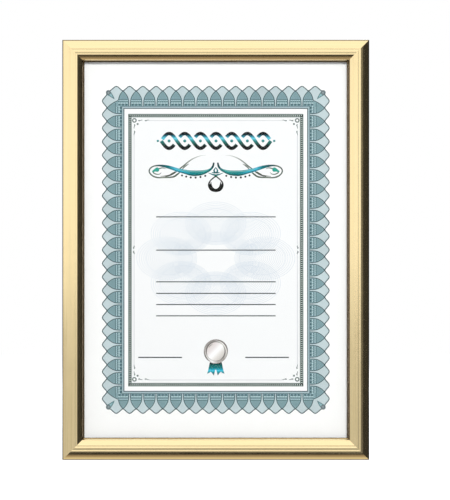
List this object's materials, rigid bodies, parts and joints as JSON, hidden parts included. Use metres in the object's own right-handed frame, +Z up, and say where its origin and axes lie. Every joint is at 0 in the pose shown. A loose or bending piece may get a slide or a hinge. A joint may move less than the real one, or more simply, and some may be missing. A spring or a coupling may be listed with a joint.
{
  "type": "certificate frame",
  "caption": "Upright gold moulded frame with a glazed certificate sheet, turn buttons behind, ring hangers and a folding easel strut.",
  "frame": {"origin": "middle of the bounding box's bottom, on the surface that the frame stands on", "axes": "+Z up along the frame's long side, +X to the right as seen from the front, the picture faces -Y"},
  "size_m": [0.236, 0.0198, 0.323],
  "materials": {
    "gold": "gold foil over a moulded core",
    "glass": "clear float glass",
    "paper": "white certificate paper, printed in dark teal",
    "card": "grey-brown packing card",
    "hardboard": "brown hardboard, smooth outside",
    "zinc_steel": "zinc-plated steel",
    "brass_plate": "brass-plated steel"
  },
  "bodies": {
    "frame": {"rail_top": "gold", "rail_bottom": "gold", "rail_left": "gold", "rail_right": "gold", "corner_nails_top_left": "zinc_steel", "corner_nails_top_right": "zinc_steel", "corner_nails_bottom_left": "zinc_steel", "corner_nails_bottom_right": "zinc_steel", "glass_pane": "glass", "certificate_sheet": "paper", "backing_card": "card", "backing_board": "hardboard", "button_screws": "brass_plate", "easel_hinge_plate": "zinc_steel", "easel_hinge_pin": "zinc_steel", "hinge_plate_rivets": "zinc_steel", "top_hanger_strap": "brass_plate", "side_hanger_strap": "brass_plate", "hanger_rivets": "brass_plate"},
    "strut": {"easel_strut": "hardboard", "easel_hinge_leaf": "zinc_steel", "hinge_leaf_rivets": "zinc_steel"},
    "button_left_upper": {"turn_button_left_upper": "zinc_steel"},
    "button_left_lower": {"turn_button_left_lower": "zinc_steel"},
    "button_right_upper": {"turn_button_right_upper": "zinc_steel"},
    "button_right_lower": {"turn_button_right_lower": "zinc_steel"},
    "button_top_left": {"turn_button_top_left": "zinc_steel"},
    "button_top_right": {"turn_button_top_right": "zinc_steel"},
    "button_bottom_left": {"turn_button_bottom_left": "zinc_steel"},
    "button_bottom_right": {"turn_button_bottom_right": "zinc_steel"},
    "top_ring": {"top_hanger_ring": "brass_plate"},
    "side_ring": {"side_hanger_ring": "brass_plate"}
  },
  "joints": [
    {"name": "strut_hinge", "type": "hinge", "parent": "frame", "child": "strut", "pos_m": [0, 0.00753, 0.205], "axis": [1, 0, 0], "range_deg": [0, 30]},
    {"name": "turn_button_left_upper", "type": "hinge", "parent": "frame", "child": "button_left_upper", "pos_m": [-0.1098, 0.0056, 0.2365], "axis": [0, 1, 0], "continuous": true},
    {"name": "turn_button_left_lower", "type": "hinge", "parent": "frame", "child": "button_left_lower", "pos_m": [-0.1098, 0.0056, 0.0865], "axis": [0, 1, 0], "continuous": true},
    {"name": "turn_button_right_upper", "type": "hinge", "parent": "frame", "child": "button_right_upper", "pos_m": [0.1098, 0.0056, 0.2365], "axis": [0, 1, 0], "continuous": true},
    {"name": "turn_button_right_lower", "type": "hinge", "parent": "frame", "child": "button_right_lower", "pos_m": [0.1098, 0.0056, 0.0865], "axis": [0, 1, 0], "continuous": true},
    {"name": "turn_button_top_left", "type": "hinge", "parent": "frame", "child": "button_top_left", "pos_m": [-0.07, 0.0056, 0.3148], "axis": [0, 1, 0], "continuous": true},
    {"name": "turn_button_top_right", "type": "hinge", "parent": "frame", "child": "button_top_right", "pos_m": [0.07, 0.0056, 0.3148], "axis": [0, 1, 0], "continuous": true},
    {"name": "turn_button_bottom_left", "type": "hinge", "parent": "frame", "child": "button_bottom_left", "pos_m": [-0.07, 0.0056, 0.0082], "axis": [0, 1, 0], "continuous": true},
    {"name": "turn_button_bottom_right", "type": "hinge", "parent": "frame", "child": "button_bottom_right", "pos_m": [0.07, 0.0056, 0.0082], "axis": [0, 1, 0], "continuous": true},
    {"name": "top_hanger_swing", "type": "hinge", "parent": "frame", "child": "top_ring", "pos_m": [0, 0.00687, 0.287], "axis": [1, 0, 0], "range_deg": [0, 180]},
    {"name": "side_hanger_swing", "type": "hinge", "parent": "frame", "child": "side_ring", "pos_m": [-0.082, 0.00687, 0.1615], "axis": [0, 0, 1], "range_deg": [0, 180]}
  ]
}
